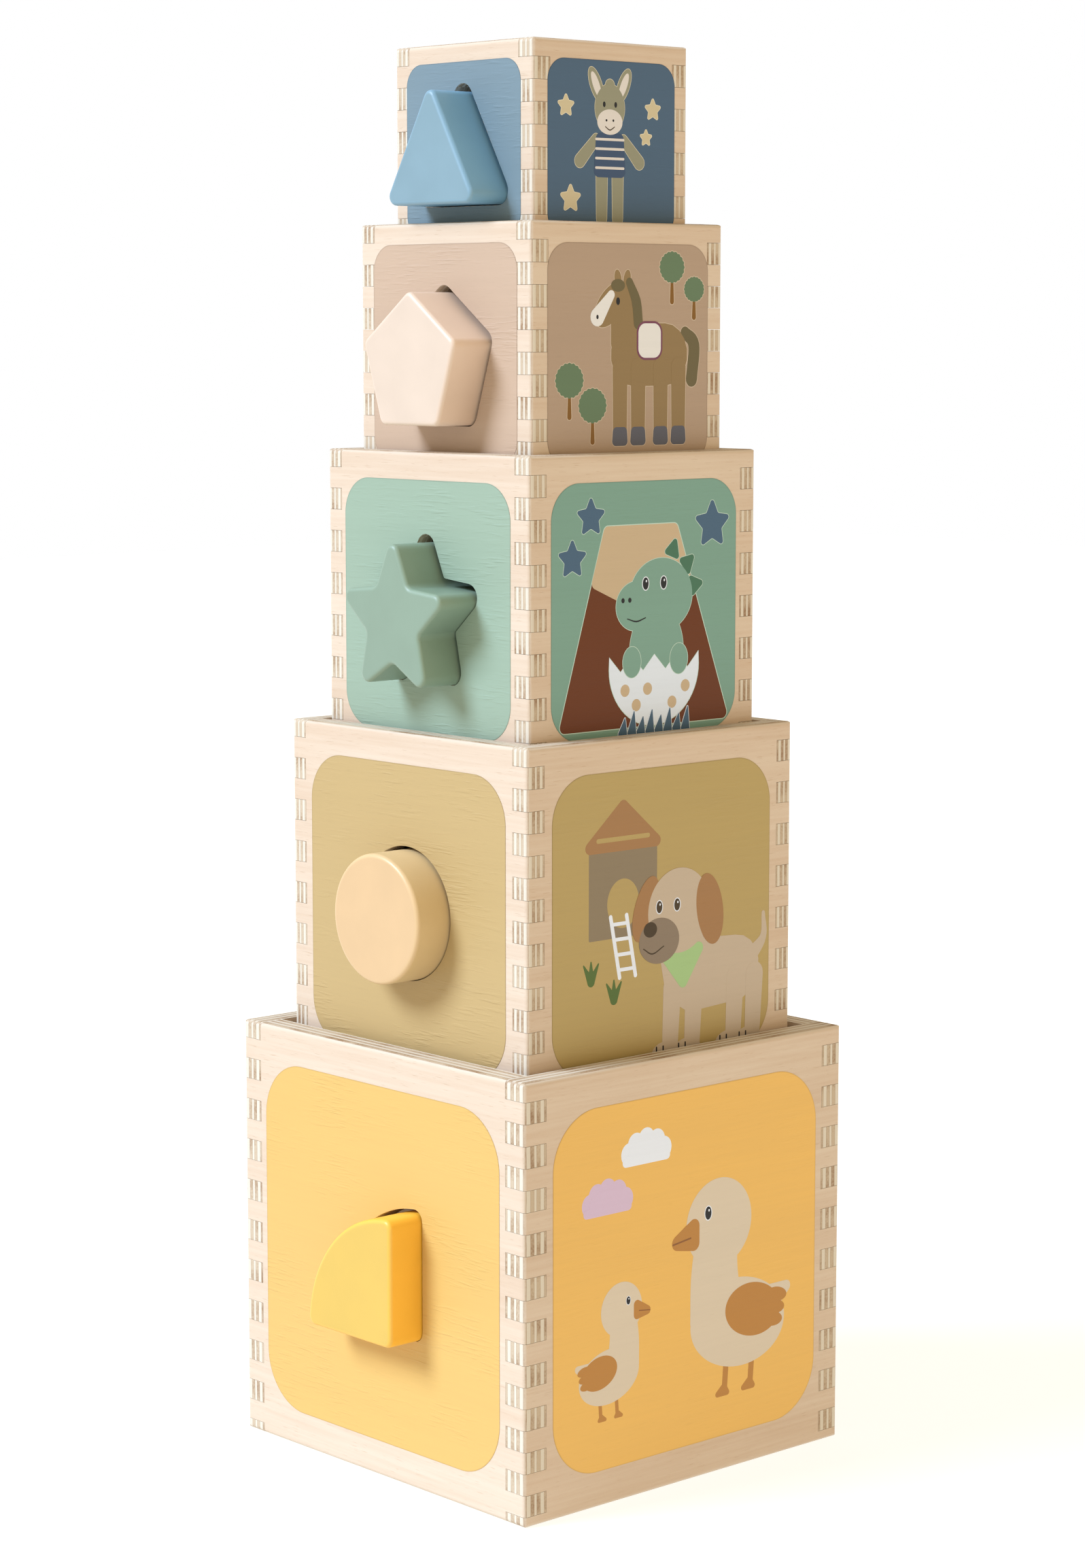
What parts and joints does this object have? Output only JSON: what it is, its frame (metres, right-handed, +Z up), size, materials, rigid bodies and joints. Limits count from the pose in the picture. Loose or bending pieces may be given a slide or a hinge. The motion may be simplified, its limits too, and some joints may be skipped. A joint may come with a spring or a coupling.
{
  "type": "shape sorter",
  "caption": "Tower of finger-jointed plywood cubes that stack in each other's trays, each with a shaped hole and a loose painted block to match.",
  "frame": {"origin": "on the floor under the middle of the tower's overall footprint, shape blocks included", "axes": "+Z up the tower; -Y the faces with the shape holes and blocks; +X the picture faces beside them"},
  "size_m": [0.1424, 0.1558, 0.465],
  "materials": {
    "birch_ply": "sanded plywood, clear matt",
    "deck_ply": "sanded plywood, clear matt",
    "yellow_field": "thin matt paint on plywood",
    "olive_field": "thin matt paint on plywood",
    "green_field": "thin matt paint on plywood",
    "mauve_field": "thin matt paint on plywood",
    "blue_field": "thin matt paint on plywood",
    "picture_ink": "printed ink, matt",
    "yellow_block_paint": "satin paint",
    "beige_block_paint": "satin paint",
    "sage_block_paint": "satin paint",
    "cream_block_paint": "satin paint",
    "light_blue_block_paint": "satin paint"
  },
  "bodies": {
    "cube_1": {"cube_1_front_wall": "birch_ply", "cube_1_picture_wall": "birch_ply", "cube_1_back_wall": "birch_ply", "cube_1_left_wall": "birch_ply", "cube_1_deck": "deck_ply"},
    "cube_2": {"cube_2_front_wall": "birch_ply", "cube_2_picture_wall": "birch_ply", "cube_2_back_wall": "birch_ply", "cube_2_left_wall": "birch_ply", "cube_2_deck": "deck_ply"},
    "cube_3": {"cube_3_front_wall": "birch_ply", "cube_3_picture_wall": "birch_ply", "cube_3_back_wall": "birch_ply", "cube_3_left_wall": "birch_ply", "cube_3_deck": "deck_ply"},
    "cube_4": {"cube_4_front_wall": "birch_ply", "cube_4_picture_wall": "birch_ply", "cube_4_back_wall": "birch_ply", "cube_4_left_wall": "birch_ply", "cube_4_deck": "deck_ply"},
    "cube_5": {"cube_5_front_wall": "birch_ply", "cube_5_picture_wall": "birch_ply", "cube_5_back_wall": "birch_ply", "cube_5_left_wall": "birch_ply", "cube_5_deck": "deck_ply"},
    "quarter_block": {"quarter_block": "yellow_block_paint"},
    "round_block": {"round_block": "beige_block_paint"},
    "star_block": {"star_block": "sage_block_paint"},
    "pentagon_block": {"pentagon_block": "cream_block_paint"},
    "triangle_block": {"triangle_block": "light_blue_block_paint"}
  },
  "joints": [
    {"name": "cube_2_lift", "type": "slide", "parent": "cube_1", "child": "cube_2", "axis": [0, 0, 1], "range_m": [0, 0.0305]},
    {"name": "cube_3_lift", "type": "slide", "parent": "cube_2", "child": "cube_3", "axis": [0, 0, 1], "range_m": [0, 0.025]},
    {"name": "cube_4_lift", "type": "slide", "parent": "cube_3", "child": "cube_4", "axis": [0, 0, 1], "range_m": [0, 0.026]},
    {"name": "cube_5_lift", "type": "slide", "parent": "cube_4", "child": "cube_5", "axis": [0, 0, 1], "range_m": [0, 0.0255]},
    {"name": "quarter_block_slide", "type": "slide", "parent": "cube_1", "child": "quarter_block", "axis": [0, -1, 0], "range_m": [-0.0223, 0.0217]},
    {"name": "round_block_slide", "type": "slide", "parent": "cube_2", "child": "round_block", "axis": [0, -1, 0], "range_m": [-0.0203, 0.0217]},
    {"name": "star_block_slide", "type": "slide", "parent": "cube_3", "child": "star_block", "axis": [0, -1, 0], "range_m": [-0.0222, 0.0198]},
    {"name": "pentagon_block_slide", "type": "slide", "parent": "cube_4", "child": "pentagon_block", "axis": [0, -1, 0], "range_m": [-0.0222, 0.0198]},
    {"name": "triangle_block_slide", "type": "slide", "parent": "cube_5", "child": "triangle_block", "axis": [0, -1, 0], "range_m": [-0.0222, 0.0198]}
  ]
}
